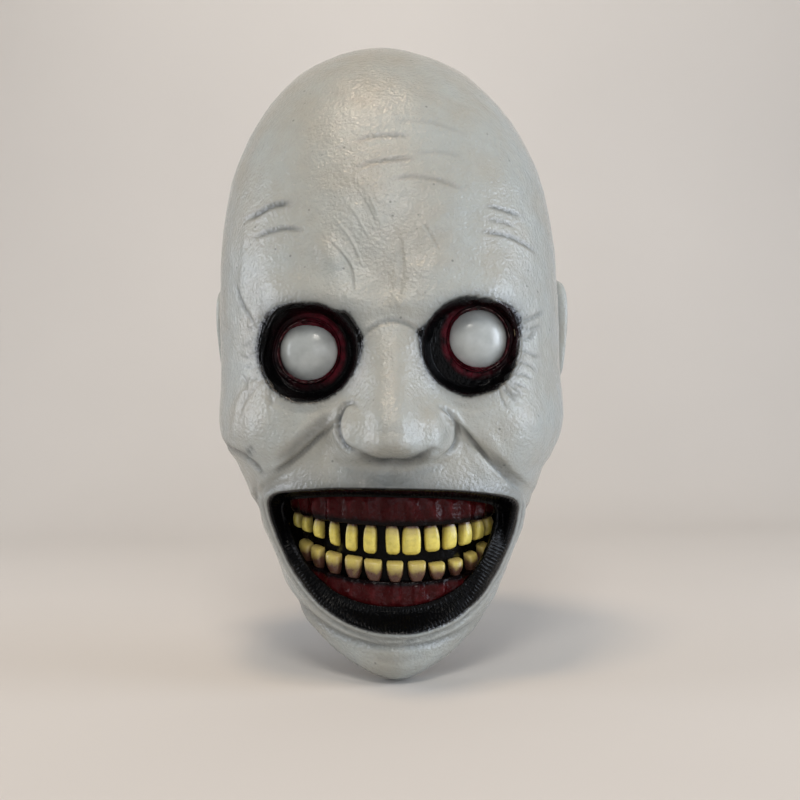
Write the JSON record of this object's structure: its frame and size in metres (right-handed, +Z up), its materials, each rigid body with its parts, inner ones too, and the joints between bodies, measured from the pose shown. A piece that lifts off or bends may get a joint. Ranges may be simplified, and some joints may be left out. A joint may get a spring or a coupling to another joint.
{
  "type": "latex halloween mask",
  "caption": "Pull-over grey latex ghoul head mask with blank domed eyes in black sockets, a wide toothy grin and a slit up the back with folding flaps.",
  "frame": {"origin": "centre of the wearer's head, midway between the ears and level with the lower edge of the eye sockets", "axes": "+Z up to the crown, -Y out of the face, +X to the right of someone facing it"},
  "size_m": [0.1926, 0.2243, 0.3197],
  "materials": {
    "grey_latex": "satin painted latex",
    "red_latex": "gloss dark red paint on latex",
    "white_dome": "gloss white paint on latex",
    "gum_latex": "gloss dark red paint on latex",
    "black_latex": "matt black paint on latex",
    "yellow_enamel": "gloss yellow paint on latex"
  },
  "bodies": {
    "mask": {"head_skin": "grey_latex", "left_ear": "grey_latex", "right_ear": "grey_latex", "left_eyelid": "red_latex", "right_eyelid": "red_latex", "left_eyeball": "white_dome", "right_eyeball": "white_dome", "mouth_lining": "black_latex", "upper_gum": "gum_latex", "lower_gum": "gum_latex", "upper_tooth_01": "yellow_enamel", "upper_tooth_02": "yellow_enamel", "upper_tooth_03": "yellow_enamel", "upper_tooth_04": "yellow_enamel", "upper_tooth_05": "yellow_enamel", "upper_tooth_06": "yellow_enamel", "upper_tooth_07": "yellow_enamel", "upper_tooth_08": "yellow_enamel", "upper_tooth_09": "yellow_enamel", "upper_tooth_10": "yellow_enamel", "upper_tooth_11": "yellow_enamel", "upper_tooth_12": "yellow_enamel", "upper_tooth_13": "yellow_enamel", "lower_tooth_01": "yellow_enamel", "lower_tooth_02": "yellow_enamel", "lower_tooth_03": "yellow_enamel", "lower_tooth_04": "yellow_enamel", "lower_tooth_05": "yellow_enamel", "lower_tooth_06": "yellow_enamel", "lower_tooth_07": "yellow_enamel", "lower_tooth_08": "yellow_enamel", "lower_tooth_09": "yellow_enamel", "lower_tooth_10": "yellow_enamel", "lower_tooth_11": "yellow_enamel"},
    "left_flap": {"left_rear_flap": "grey_latex"},
    "right_flap": {"right_rear_flap": "grey_latex"}
  },
  "joints": [
    {"name": "left_flap_fold", "type": "hinge", "parent": "mask", "child": "left_flap", "pos_m": [-0.022, 0.09641, 0.02], "axis": [0.2259, 0.364, 0.9036], "range_deg": [0, 40], "stiffness_Nm_per_rad": 0.03},
    {"name": "right_flap_fold", "type": "hinge", "parent": "mask", "child": "right_flap", "pos_m": [0.022, 0.09641, 0.02], "axis": [0.2259, -0.364, -0.9036], "range_deg": [0, 40], "stiffness_Nm_per_rad": 0.03}
  ]
}
